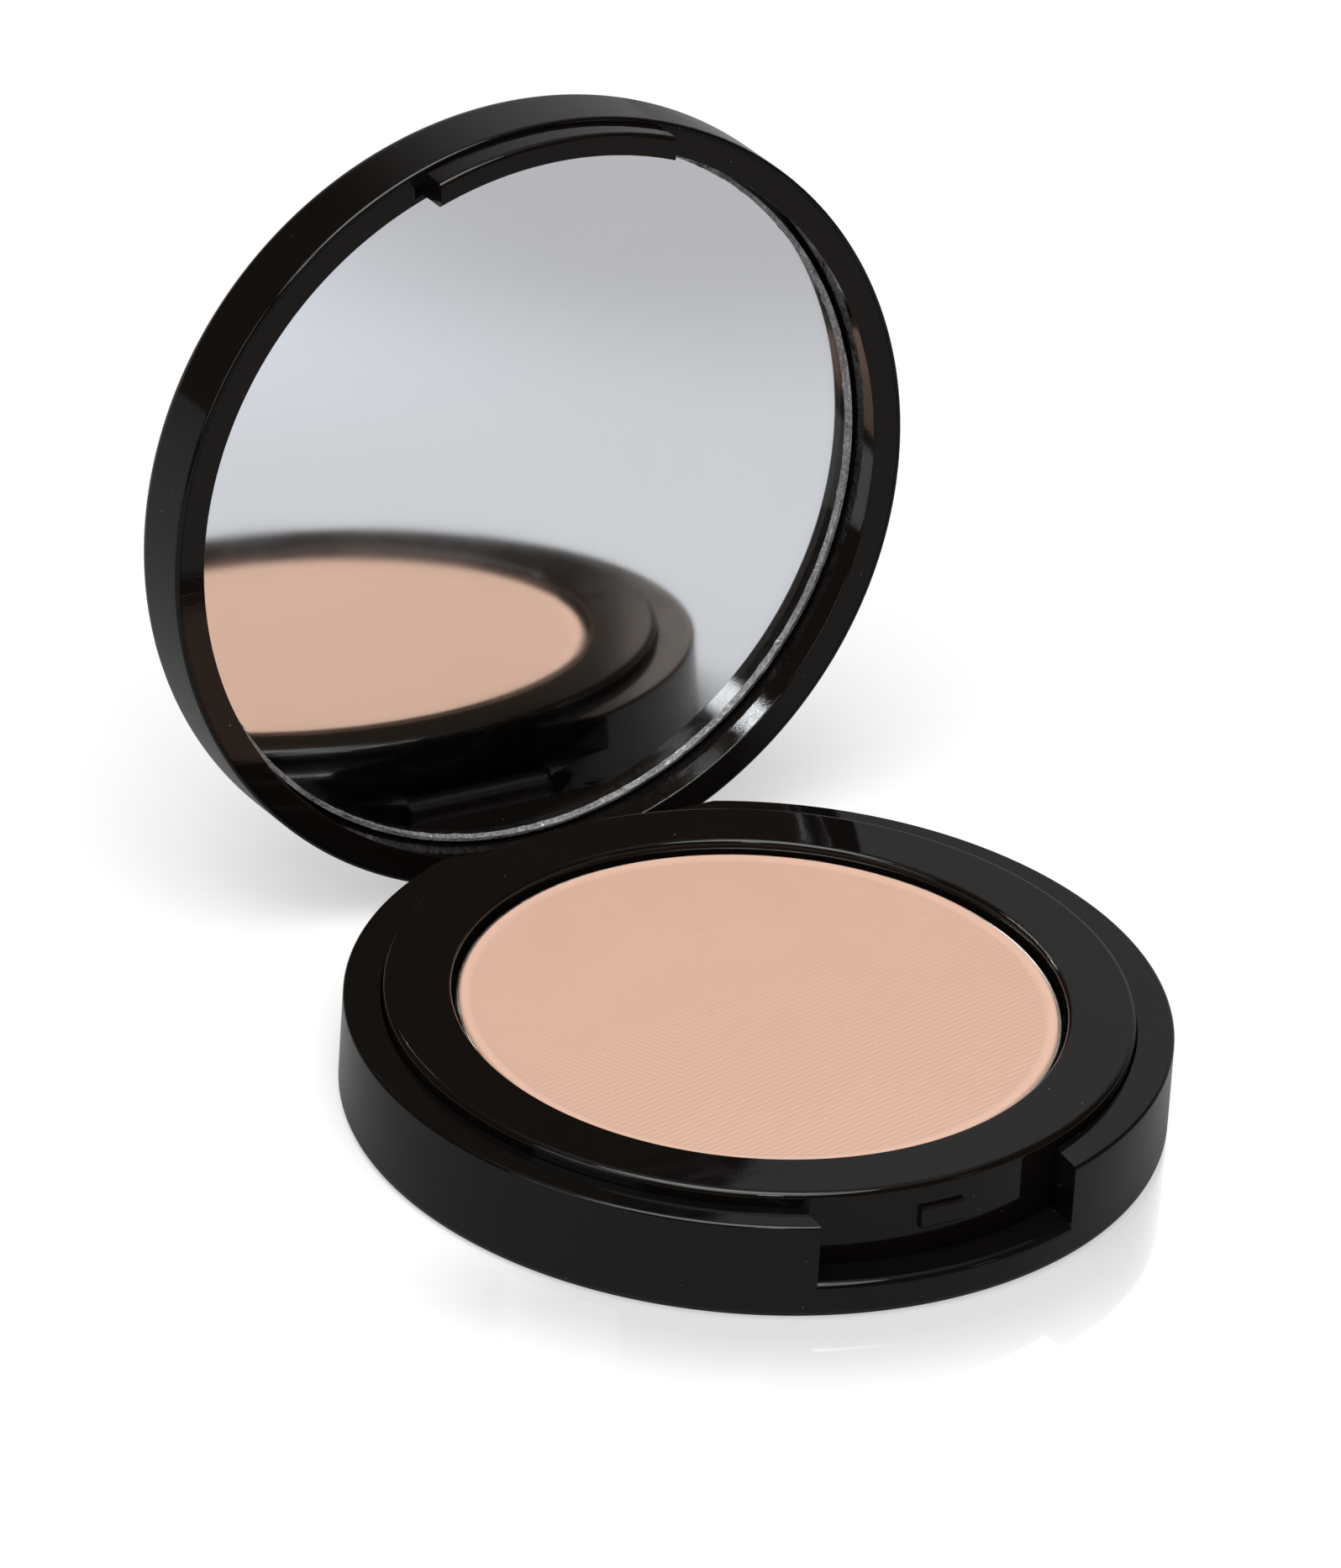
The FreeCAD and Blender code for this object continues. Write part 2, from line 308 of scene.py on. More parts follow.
def drawn_metal(name, colour, low_rough, high_rough):
    """Thin metal with the fine lines that drawing leaves."""
    material, tree, bsdf = new_material(name)
    coords = own_coordinates(tree)
    lines = noise(tree, coords, 1.0, 2.0, 0.6, stretch=(300, 300, 9000))
    grain = place(tree, GRAIN, coords, Grain_Scale=2600.0, Patch_Scale=220.0)
    tint = blend_colour(tree, grain["Patch"], colour, [c * 0.8 for c in colour])
    tree.links.new(tint, bsdf.inputs["Base Color"])
    tree.links.new(ramp(tree, lines, 0.3, 0.7, low_rough, high_rough), bsdf.inputs["Roughness"])
    bsdf.inputs["Metallic"].default_value = 1.0
    raise_surface(tree, bsdf, lines, 0.00001, 0.5)
    return material


RIB_PAINTED_SHADE = 0.95                      # how much painted shade darkens the troughs between ribs
# Painted light and shade: the powder is coloured lighter in front and darker at the back, under the open
# lid.
POWDER_SHADED_BACK = (0.515, 0.330, 0.250)
POWDER_LIT_FRONT = (0.605, 0.403, 0.310)
POWDER_PALE = (0.625, 0.415, 0.320)   # paler clouds
POWDER_DEEP_AND_RIB_SHADE = (0.520, 0.325, 0.245)   # between grains, and painted shade between ribs
POWDER_RIM = (0.660, 0.425, 0.330)
PAINTED_SHADE_HALF = 25 * MM                 # the painted shade runs from this far back to this far forward
RIM_STARTS, RIM_FULL = 1.4 * MM, 0.5 * MM   # in from the cake's edge


def pressed_powder_finish():
    """Matte skin-tone powder: fine grain, warm mottling and a few mica flecks."""
    material, tree, bsdf = new_material("pressed_powder")
    coords = own_coordinates(tree)
    grain = place(tree, GRAIN, coords, Grain_Scale=6500.0, Patch_Scale=120.0)
    imprint = place(tree, IMPRINT, coords)
    split = tree.nodes.new("ShaderNodeSeparateXYZ")
    tree.links.new(coords, split.inputs[0])
    # Painted shade: the powder's colour darkens towards the back and lightens towards the front.
    forward = ramp(tree, split.outputs[1], PAINTED_SHADE_HALF, -PAINTED_SHADE_HALF, smooth=False)
    base = blend_colour(tree, forward, POWDER_SHADED_BACK, POWDER_LIT_FRONT)
    cloudy = ramp(tree, grain["Patch"], 0.35, 0.65)
    base = blend_colour(tree, math_node(tree, "MULTIPLY", cloudy, 0.22), base, POWDER_PALE)
    fine = ramp(tree, grain["Grain"], 0.3, 0.75, 0.35, 0.0)
    base = blend_colour(tree, fine, base, POWDER_DEEP_AND_RIB_SHADE)
    radius = distance_from_axis(tree, split.outputs[0], split.outputs[1])
    rim = ramp(tree, radius, CAKE_R - RIM_STARTS, CAKE_R - RIM_FULL)
    # Painted shade: the powder's colour darkens in the troughs between the ribs.
    painted_rib_shade = math_node(tree, "SUBTRACT", 1.0, imprint["Rib"])
    painted_rib_shade = math_node(tree, "MULTIPLY", painted_rib_shade, imprint["Clear"])
    painted_rib_shade = math_node(tree, "MULTIPLY", painted_rib_shade, math_node(tree, "SUBTRACT", RIB_PAINTED_SHADE, rim))
    base = blend_colour(tree, math_node(tree, "MAXIMUM", painted_rib_shade, 0.0), base, POWDER_DEEP_AND_RIB_SHADE)
    base = blend_colour(tree, math_node(tree, "MULTIPLY", rim, 0.6), base, POWDER_RIM)
    mica = math_node(tree, "MAXIMUM", specks(tree, coords, 2600, 0.16, 0.03),
                     specks(tree, coords, 1300, 0.09, 0.03))
    base = blend_colour(tree, math_node(tree, "MULTIPLY", mica, 0.7), base, MICA_COLOUR)
    tree.links.new(base, bsdf.inputs["Base Color"])
    tree.links.new(ramp(tree, mica, 0.0, 1.0, 0.78, 0.30), bsdf.inputs["Roughness"])
    bsdf.inputs["Specular IOR Level"].default_value = 0.28
    bsdf.inputs["Sheen Weight"].default_value = 0.05
    bsdf.inputs["Sheen Roughness"].default_value = 0.5
    raise_surface(tree, bsdf, grain["Grain"], 0.00003, 0.5)
    return material


def mirror_glass_finish():
    """Clear float glass of the mirror's front."""
    material, tree, bsdf = new_material("float_glass")
    coords = own_coordinates(tree)
    marks = place(tree, HANDLING, coords, Smear_Amount=0.5, Scratch_Amount=0.25, Dust_Amount=0.35)
    bsdf.inputs["Base Color"].default_value = (0.965, 0.985, 0.985, 1)
    bsdf.inputs["Transmission Weight"].default_value = 1.0
    bsdf.inputs["IOR"].default_value = GLASS_IOR
    worn = math_node(tree, "MAXIMUM", marks["Smear"], marks["Dust"])
    tree.links.new(ramp(tree, worn, 0.0, 1.0, 0.0, 0.06, smooth=False), bsdf.inputs["Roughness"])
    return material


def silvering_finish():
    """Silver coat on the back of the glass, slightly uneven."""
    material, tree, bsdf = new_material("silver_coat")
    coords = own_coordinates(tree)
    grain = place(tree, GRAIN, coords, Grain_Scale=900.0, Patch_Scale=70.0)
    tree.links.new(blend_colour(tree, grain["Patch"], (0.93, 0.935, 0.945), (0.965, 0.965, 0.965)),
                   bsdf.inputs["Base Color"])
    tree.links.new(ramp(tree, grain["Patch"], 0.3, 0.7, 0.036, 0.048), bsdf.inputs["Roughness"])
    bsdf.inputs["Metallic"].default_value = 1.0
    return material


def ground_edge_finish():
    """Ground edge of the glass: bright frosted facets between darker ones."""
    material, tree, bsdf = new_material("ground_glass_edge")
    coords = own_coordinates(tree)
    grain = place(tree, GRAIN, coords, Grain_Scale=2600.0, Patch_Scale=330.0)
    facets = ramp(tree, grain["Patch"], 0.42, 0.60)
    tree.links.new(blend_colour(tree, facets, (0.84, 0.82, 0.86), (1.0, 0.99, 1.0)),
                   bsdf.inputs["Base Color"])
    tree.links.new(ramp(tree, grain["Grain"], 0.35, 0.65, 0.14, 0.40), bsdf.inputs["Roughness"])
    bsdf.inputs["Metallic"].default_value = 0.35
    height = math_node(tree, "ADD", facets, math_node(tree, "MULTIPLY", grain["Grain"], 0.25))
    raise_surface(tree, bsdf, height, 0.00025, 1.0)
    return material


def sheet_finish(name, colour, spot, rough):
    """Paper or tape: fibres and small flecks."""
    material, tree, bsdf = new_material(name)
    coords = own_coordinates(tree)
    grain = place(tree, GRAIN, coords, Grain_Scale=3200.0, Patch_Scale=260.0)
    fibres = noise(tree, coords, 1.0, 2.0, 0.6, stretch=(700, 5200, 700), turn=(0, 0, 0.5))
    mixed = math_node(tree, "MULTIPLY", ramp(tree, fibres, 0.45, 0.75),
                      ramp(tree, grain["Patch"], 0.3, 0.7))
    tree.links.new(blend_colour(tree, mixed, colour, spot), bsdf.inputs["Base Color"])
    tree.links.new(ramp(tree, grain["Grain"], 0.3, 0.7, rough, rough + 0.2), bsdf.inputs["Roughness"])
    raise_surface(tree, bsdf, fibres, 0.00002, 0.4)
    return material


def coat(node, material):
    """Gives a CAD node its finish."""
    slots = NODES[node].data.materials
    slots.clear()
    slots.append(material)


# ---------------------------------------------------------------- mesh helpers
def mesh_piece(name, points, faces, materials, smooth=True, slots=None):
    mesh = bpy.data.meshes.new(name)
    mesh.from_pydata([tuple(p) for p in points], [], [tuple(f) for f in faces])
    for material in materials:
        mesh.materials.append(material)
    if slots is not None:
        mesh.polygons.foreach_set("material_index", slots)
    mesh.polygons.foreach_set("use_smooth", [smooth] * len(mesh.polygons))
    mesh.validate()
    mesh.update()
    piece = bpy.data.objects.new(name, mesh)
    bpy.context.scene.collection.objects.link(piece)
    return piece


def lathe(profile, steps, waver=None):
    """Turns (radius, height) points about Z; the first and last lie on the axis.

    waver(index, angle, r, z) may shift a point.  Returns points, faces and each face's band."""
    points, faces, bands = [], [], []
    rows = profile[1:-1]
    for index, (r, z) in enumerate(rows):
        for k in range(steps):
            angle = 2 * math.pi * k / steps
            rr, zz = waver(index, angle, r, z) if waver else (r, z)
            points.append((rr * math.cos(angle), rr * math.sin(angle), zz))
    first, last = len(points), len(points) + 1
    points += [(0, 0, profile[0][1]), (0, 0, profile[-1][1])]
    for k in range(steps):
        n = (k + 1) % steps
        faces.append((first, n, k))
        bands.append(0)
        for row in range(len(rows) - 1):
            a, b = row * steps, (row + 1) * steps
            faces.append((a + k, a + n, b + n, b + k))
            bands.append(row + 1)
        end = (len(rows) - 1) * steps
        faces.append((end + k, end + n, last))
        bands.append(len(rows))
    return points, faces, bands


def arc(cx, cz, r, start, end, count):
    """Points on a circular arc in the profile plane; angles in degrees."""
    turns = [math.radians(start + (end - start) * i / count) for i in range(count + 1)]
    return [(cx + r * math.cos(t), cz + r * math.sin(t)) for t in turns]


def keep_sharp(piece, degrees):
    piece.data.set_sharp_from_angle(angle=math.radians(degrees))


# ---------------------------------------------------------------- moulded pieces
CREASE = math.cos(math.radians(50))   # faces meeting at more than this stay a crisp edge
SAME_PLANE = 0.999985                 # cosine above which two facets are one flat face
WELD = 0.001 * MM
WALL_STEP = 0.05 * MM                 # walls whose radii differ by more are told apart
MOST_SAG = 0.06 * MM                  # most that a facet cuts inside the round it stands for
ON_ROUND = 0.004 * MM                 # a point this near a round lies on it
WALL, LEVEL, OTHER = -1, -2, -3       # kinds of face that are not a rounded edge

# Edge roundings of the mouldings, in millimetres.
CASE_BOTTOM_ROUND = 1.0
RIM_ROUND = 0.35
LIP_ROUND = 0.7
LIP_TOP = 3.65
INSERT_ROUND = 0.6
WELL_ROUND = 0.45
WELL_R = 27.8
COVER_ROUND = 2.0
RECESS_R = 34.6
RECESS_ROUND = 0.15
TAB_OUT_R, TAB_IN_R = 37.0, 34.8
TAB_ROUND, TAB_INNER_ROUND = 0.45, 0.3
TAB_DEPTH = 3.0


def rounds_of(node, low, high):
    """Rounded edges of a moulding as (radius of centre circle, its height, size), in metres."""
    r, bottom, top = high.x / MM, low.z / MM, high.z / MM
    tip_in, tip_out = TAB_IN_R + TAB_INNER_ROUND, TAB_OUT_R - TAB_ROUND
    ring = bottom_of_ring() / MM
    rounds = {
        "base_shell": [(r - CASE_BOTTOM_ROUND, CASE_BOTTOM_ROUND, CASE_BOTTOM_ROUND),
                       (r - RIM_ROUND, top - RIM_ROUND, RIM_ROUND),
                       (r - LIP_ROUND, LIP_TOP - LIP_ROUND, LIP_ROUND)],
        "pan_insert": [(r - INSERT_ROUND, top - INSERT_ROUND, INSERT_ROUND),
                       (WELL_R + WELL_ROUND, top - WELL_ROUND, WELL_ROUND)],
        "lid_cover": [(r - COVER_ROUND, top - COVER_ROUND, COVER_ROUND),
                      (r - RIM_ROUND, bottom + RIM_ROUND, RIM_ROUND)],
        "mirror_frame": [(RECESS_R + RECESS_ROUND, ring + RECESS_ROUND, RECESS_ROUND),
                         (tip_out, ring - TAB_DEPTH + TAB_ROUND, TAB_ROUND),
                         (tip_in, ring - TAB_DEPTH + TAB_INNER_ROUND, TAB_INNER_ROUND)]}
    return np.array(rounds[node]) * MM


def bottom_of_ring():
    return shut_box("lid_cover")[0].z


def unit(vectors):
    return vectors / np.maximum(np.linalg.norm(vectors, axis=-1, keepdims=True), 1e-12)


def node_triangles(node, in_lid):
    """A CAD node's points and triangles, with the lid turned shut so that its axis is Z."""
    work = bmesh.new()
    work.from_mesh(NODES[node].data)
    if in_lid:
        work.transform(OPENING.inverted())
    bmesh.ops.remove_doubles(work, verts=work.verts, dist=WELD)
    bmesh.ops.triangulate(work, faces=work.faces)
    work.verts.index_update()
    points = np.array([v.co[:] for v in work.verts])
    triangles = np.array([[v.index for v in f.verts] for f in work.faces])
    work.free()
    return points, triangles


def flat_areas(normal, area, triangles):
    """For each triangle, the area of the whole flat face it belongs to."""
    owner = list(range(len(triangles)))

    def root(i):
        while owner[i] != i:
            owner[i] = owner[owner[i]]
            i = owner[i]
        return i

    seen = {}
    for f, triangle in enumerate(triangles):
        for k in range(3):
            edge = tuple(sorted((triangle[k], triangle[k - 2])))
            other = seen.setdefault(edge, f)
            if other != f and normal[other] @ normal[f] > SAME_PLANE:
                owner[root(other)] = root(f)
    roots = np.array([root(f) for f in range(len(triangles))])
    total = np.zeros(len(triangles))
    np.add.at(total, roots, area)
    return total[roots]


def true_normals(points, triangles):
    """Corner normals that keep flats flat and let each rounded edge run smoothly between them."""
    p = points[triangles]
    cross = np.cross(p[:, 1] - p[:, 0], p[:, 2] - p[:, 0])
    area = np.linalg.norm(cross, axis=1) / 2
    normal = unit(cross)
    whole = flat_areas(normal, area, triangles)
    around = [[] for _ in range(len(points))]
    for f, triangle in enumerate(triangles):
        for k in range(3):
            one = unit(p[f, (k + 1) % 3] - p[f, k])
            two = unit(p[f, (k + 2) % 3] - p[f, k])
            corner = math.acos(max(-1.0, min(1.0, one @ two)))
            around[triangle[k]].append((f, corner * whole[f]))
    corners = np.zeros((len(triangles), 3, 3))
    for f, triangle in enumerate(triangles):
        for k in range(3):
            near = [(g, w) for g, w in around[triangle[k]] if normal[g] @ normal[f] > CREASE]
            corners[f, k] = sum(normal[g] * w for g, w in near)
    return unit(corners)


def profile(points):
    return np.stack([np.linalg.norm(points[..., :2], axis=-1), points[..., 2]], -1)


def sag_of(a, b):
    """How far the straight line from a to b cuts inside the circle through them."""
    mean_r = (np.linalg.norm(a[..., :2], axis=-1) + np.linalg.norm(b[..., :2], axis=-1)) / 2
    return mean_r - np.linalg.norm(((a + b) / 2)[..., :2], axis=-1)


def face_kinds(points, triangles, rounds):
    """For each triangle the number of the rounded edge it lies on, or WALL, LEVEL or OTHER."""
    p = points[triangles]
    rz = profile(p)
    kinds = np.full(len(triangles), OTHER)
    shallow = sag_of(p, p[:, [1, 2, 0]]).max(1) < MOST_SAG
    kinds[shallow & (np.ptp(rz[..., 0], axis=1) < ON_ROUND)] = WALL
    kinds[np.ptp(rz[..., 1], axis=1) < ON_ROUND / 10] = LEVEL
    for number, (centre_r, centre_z, size) in enumerate(rounds):
        reach = np.linalg.norm(rz - [centre_r, centre_z], axis=-1)
        on = (np.abs(reach - size) < ON_ROUND).all(1) & shallow
        kinds[on & (kinds != LEVEL) & (np.ptp(rz[..., 0], axis=1) > ON_ROUND)] = number
    return kinds


def halve_edges(points, triangles, corners, kinds, rounds):
    """Splits every triangle in four; points on walls and rounded edges go out to the true shape."""
    pairs = np.sort(triangles[:, [[0, 1], [1, 2], [2, 0]]].reshape(-1, 2), 1)
    edges, which = np.unique(pairs, axis=0, return_inverse=True)
    which = which.reshape(-1, 3)
    best = np.full(len(edges), OTHER)
    np.maximum.at(best, which.ravel(), np.repeat(np.where(kinds == LEVEL, OTHER, kinds), 3))
    a, b = points[edges[:, 0]], points[edges[:, 1]]
    middle = (a + b) / 2
    curved = (best >= WALL) & (sag_of(a, b) < MOST_SAG)
    outward = unit(unit(a * [1, 1, 0]) + unit(b * [1, 1, 0]))
    rz = (profile(a) + profile(b)) / 2
    for number, (centre_r, centre_z, size) in enumerate(rounds):
        on = best == number
        centre = np.array([centre_r, centre_z])
        rz[on] = centre + size * unit(rz[on] - centre)
    turned = outward * rz[:, :1]
    turned[:, 2] = rz[:, 1]
    middle = np.where(curved[:, None], turned, middle)
    m = len(points) + which
    points = np.vstack([points, middle])
    n = unit((corners + corners[:, [1, 2, 0]]) / 2)
    t, c = triangles, corners
    split = [((t, c, 0), (m, n, 0), (m, n, 2)), ((m, n, 0), (t, c, 1), (m, n, 1)),
             ((m, n, 2), (m, n, 1), (t, c, 2)), ((m, n, 0), (m, n, 1), (m, n, 2))]
    faces = [np.stack([index[:, k] for index, _, k in part], 1) for part in split]
    normals = [np.stack([way[:, k] for _, way, k in part], 1) for part in split]
    return points, np.vstack(faces), np.vstack(normals), np.tile(kinds, 4)


def settle_normals(points, triangles, corners, kinds, rounds):
    """Exact normals wherever the shape is a wall, a level face or a rounded edge."""
    p = points[triangles]
    face = np.cross(p[:, 1] - p[:, 0], p[:, 2] - p[:, 0])
    outward = unit(p * [1, 1, 0])
    rz = profile(p)

    def assign(chosen, exact):
        facing = np.sign((face[chosen][:, None] * exact).sum())
        corners[chosen] = exact * (facing or 1.0)

    on_wall = kinds == WALL
    steps = np.round(rz[:, 0, 0] / WALL_STEP).astype(int)
    for step in np.unique(steps[on_wall]):
        chosen = on_wall & (steps == step)
        assign(chosen, outward[chosen])
    level = kinds == LEVEL
    corners[level] = np.sign(face[level][:, None, 2:]) * [0, 0, 1]
    for number, (centre_r, centre_z, size) in enumerate(rounds):
        chosen = kinds == number
        way = unit(rz[chosen] - [centre_r, centre_z])
        exact = outward[chosen] * way[..., :1]
        exact[..., 2] = way[..., 1]
        assign(chosen, exact)
    return corners


def moulded_piece(node, name, body, finish, halvings):
    """Stands for a CAD node: the same shape with its rounds cut finer and highlights unbroken."""
    in_lid = body == "lid"
    points, triangles = node_triangles(node, in_lid)
    low, high = shut_box(node) if in_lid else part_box(node)
    rounds = rounds_of(node, low, high)
    corners = true_normals(points, triangles)
    kinds = face_kinds(points, triangles, rounds)
    for _ in range(halvings):
        points, triangles, corners, kinds = halve_edges(points, triangles, corners, kinds, rounds)
    corners = settle_normals(points, triangles, corners, kinds, rounds)
    if in_lid:
        turn = np.array(OPENING)
        points = points @ turn[:3, :3].T + turn[:3, 3]
        corners = corners @ turn[:3, :3].T
    mesh = bpy.data.meshes.new(name)
    mesh.from_pydata(points.tolist(), [], triangles.tolist())
    mesh.materials.append(finish)
    mesh.polygons.foreach_set("use_smooth", [True] * len(mesh.polygons))
    mesh.update()
    mesh.normals_split_custom_set(corners.reshape(-1, 3).tolist())
    piece = bpy.data.objects.new(name, mesh)
    bpy.context.scene.collection.objects.link(piece)
    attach(piece, body)
    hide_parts(node)


CASE_BLACK = (0.0024, 0.0022, 0.0021)
INNER_BLACK = (0.0028, 0.0023, 0.0020)


def moulded_pieces():
    case = black_plastic("case_gloss_black", CASE_BLACK, 0.06, 0.30,
                         smear=0.55, scratch=0.35, dust=0.55)
    inner = black_plastic("insert_gloss_black", INNER_BLACK, 0.05, 0.28,
                          smear=0.45, scratch=0.45, dust=0.75)
    halvings = 2
    moulded_piece("base_shell", "base_shell_moulding", "base", case, halvings)
    moulded_piece("pan_insert", "pan_insert_moulding", "base", inner, halvings)
    moulded_piece("lid_cover", "lid_cover_moulding", "lid", case, 1)
    moulded_piece("mirror_frame", "mirror_frame_moulding", "lid", inner, halvings)


# ---------------------------------------------------------------- powder cake
CAKE_LOW, CAKE_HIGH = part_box("powder_cake")
CAKE_R = (CAKE_HIGH.x - CAKE_LOW.x) / 2
RIB_DEPTH = 0.022 * MM        # half of crest to trough
BORDER_W = 1.3 * MM
BORDER_RISE = 0.10 * MM
BORDER_SLOPE = 0.6 * MM       # width over which the border rises
CAKE_EDGE = 0.16 * MM
PRESS_DISH = 0.02 * MM        # slow unevenness left by the press


def smooth_step(low, high, value):
    t = np.clip((value - low) / (high - low), 0, 1)
    return t * t * (3 - 2 * t)


def cloth_ribs(x, y):
    """Height of the pressed cloth imprint: twill ribs that turn back across two lines."""
    cx, cy = x - CLOTH_CORNER[0], y - CLOTH_CORNER[1]
    along = cx * math.cos(CLOTH_TURN) + cy * math.sin(CLOTH_TURN)
    across = -cx * math.sin(CLOTH_TURN) + cy * math.cos(CLOTH_TURN)
    turned = (along < 0) & (across > 0)
    slope = np.where(turned, along, -along) * math.sin(RIB_SLANT)
    phase = (slope + across * math.cos(RIB_SLANT)) / RIB_PITCH
    worn = 0.45 + 0.55 * smooth_step(14 * MM, -6 * MM, y)
    patchy = 0.85 + 0.15 * np.sin(x / (5.2 * MM) + 1.1) * np.sin(y / (6.1 * MM))
    return RIB_DEPTH * worn * patchy * np.cos(2 * math.pi * phase)


def cake_height(x, y):
    r = np.hypot(x, y)
    inner = CAKE_R - BORDER_W
    border = BORDER_RISE * smooth_step(inner, inner + BORDER_SLOPE, r)
    ribs = cloth_ribs(x, y) * (1 - smooth_step(inner - 0.2 * MM, inner + 0.5 * MM, r))
    pressed = PRESS_DISH * np.sin(x / (11 * MM) + 0.4) * np.cos(y / (13 * MM))
    inset = np.clip(r - (CAKE_R - CAKE_EDGE), 0, CAKE_EDGE)
    edge = CAKE_EDGE - np.sqrt(np.maximum(CAKE_EDGE ** 2 - inset ** 2, 0))
    return CAKE_HIGH.z + border + ribs + pressed * (1 - smooth_step(inner, CAKE_R, r)) - edge


def powder_cake():
    """Top on a square grid drawn out to a disc, closed by a plain wall and bottom."""
    count = 296
    u = np.linspace(-1, 1, count + 1)
    gx, gy = np.meshgrid(u, u, indexing="xy")
    wide = np.abs(gx) > np.abs(gy)
    size = np.where(wide, gx, gy)
    safe = np.where(size == 0, 1, size)
    turn = np.where(wide, math.pi / 4 * gy / safe, math.pi / 2 - math.pi / 4 * gx / safe)
    x, y = CAKE_R * size * np.cos(turn), CAKE_R * size * np.sin(turn)
    z = cake_height(x, y)
    points = np.stack([x, y, z], -1).reshape(-1, 3)
    index = np.arange((count + 1) ** 2).reshape(count + 1, count + 1)
    quads = np.stack([index[:-1, :-1], index[:-1, 1:], index[1:, 1:], index[1:, :-1]], -1)
    quads = quads.reshape(-1, 4).tolist()
    loop = np.concatenate([index[0, :-1], index[:-1, -1], index[-1, :0:-1], index[:0:-1, 0]])
    foot = points[loop].copy()
    foot[:, 2] = CAKE_LOW.z
    start = len(points)
    points = np.vstack([points, foot])
    n = len(loop)
    wall = [(loop[(k + 1) % n], loop[k], start + k, start + (k + 1) % n) for k in range(n)]
    bottom = [tuple(range(start + n - 1, start - 1, -1))]
    cake = mesh_piece("pressed_powder_cake", points, quads + wall + bottom, [pressed_powder_finish()])
    keep_sharp(cake, 60)
    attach(cake, "base")
    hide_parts("powder_cake")


# ---------------------------------------------------------------- metal pan
PAN_CORNER = 0.6 * MM
RIM_WAVE = 0.012 * MM         # how far the rim is out of true
RIM_WAVE_DEPTH = 1.5 * MM     # how far down the wall the wave fades


def metal_pan():
    """Drawn pan with a rolled rim that is slightly out of true."""
    low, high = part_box("powder_pan")
    r = (high.x - low.x) / 2
    wall = r - CAKE_R
    outside = [(0, low.z)] + arc(r - PAN_CORNER, low.z + PAN_CORNER, PAN_CORNER, -90, 0, 8)
    rim = arc(r - wall / 2, high.z - wall / 2, wall / 2, 0, 180, 8)
    floor = low.z + wall
    inner_corner = PAN_CORNER - wall
    inside = arc(r - wall - inner_corner, floor + inner_corner, inner_corner, 0, -90, 5)

    def out_of_true(index, angle, rr, zz):
        lift = smooth_step(high.z - RIM_WAVE_DEPTH, high.z, np.float64(zz))
        wave = math.sin(3 * angle + 0.4) + 0.6 * math.sin(7 * angle + 1.9) + 0.4 * math.sin(17 * angle)
        return rr, zz + RIM_WAVE * lift * wave

    points, faces, _ = lathe(outside + rim + inside + [(0, floor)], 288, out_of_true)
    pan = mesh_piece("metal_powder_pan", points, faces,
                     [drawn_metal("tin_plate", (0.80, 0.79, 0.77), 0.16, 0.34)])
    keep_sharp(pan, 50)
    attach(pan, "base")
    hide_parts("powder_pan")


# ---------------------------------------------------------------- mirror
GLASS_BEVEL = 0.42 * MM       # ground chamfer, measured along the face
BEVEL_DEPTH = 0.35 * MM
BACK_ARRIS = 0.12 * MM
CHIP_DEPTH = 0.25 * MM        # deepest chip in the front arris
CHIP_SHARE = 0.12             # raised, it leaves fewer chips
CHIP_WAVES = (23, 41, 67, 97, 139, 181)
GLASS_THICK = 0.9 * MM        # a backing card fills the rest of the mirror's thickness
CARD_INSET = 0.08 * MM
TAPE_CLEARANCE = 0.02 * MM    # from glass to card, and from card to the tape behind it


def lid_mirror():
    """Glass with a silvered back and a ground edge, chipped at its front arris, on a backing card."""
    low, high = shut_box("mirror")
    r = (high.x - low.x) / 2
    front, back = low.z, low.z + GLASS_THICK
    profile = [(0, front), (r - GLASS_BEVEL, front), (r, front + BEVEL_DEPTH),
               (r, back - BACK_ARRIS), (r - BACK_ARRIS, back), (0, back)]
    draw = np.random.default_rng(7)
    waves = [(k, draw.uniform(0, 2 * math.pi), draw.uniform(0.4, 1.0)) for k in CHIP_WAVES]

    def chipped(index, angle, rr, zz):
        if index != 0:
            return rr, zz
        nick = sum(a * math.sin(k * angle + p) for k, p, a in waves) / len(waves)
        return rr - CHIP_DEPTH * max(nick - CHIP_SHARE, 0), zz

    points, faces, bands = lathe(profile, 720, chipped)
    points = [OPENING @ Vector(p) for p in points]
    finish = {0: 0, 1: 2, 2: 2, 3: 1, 4: 1}
    glass = mesh_piece("lid_mirror_glass", points, faces,
                       [mirror_glass_finish(), silvering_finish(), ground_edge_finish()],
                       slots=[finish[b] for b in bands])
    keep_sharp(glass, 20)
    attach(glass, "lid")
    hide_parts("mirror")

    card_r, card_front, card_back = r - CARD_INSET, back + TAPE_CLEARANCE, high.z - TAPE_CLEARANCE
    profile = [(0, card_front), (card_r - CARD_INSET, card_front), (card_r, card_front + CARD_INSET),
               (card_r, card_back - CARD_INSET), (card_r - CARD_INSET, card_back), (0, card_back)]
    points, faces, _ = lathe(profile, 360)
    card = mesh_piece("mirror_backing_card", [OPENING @ Vector(p) for p in points], faces,
                      [sheet_finish("backing_card", (0.020, 0.019, 0.018), (0.045, 0.043, 0.040), 0.55)])
    keep_sharp(card, 20)
    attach(card, "lid")


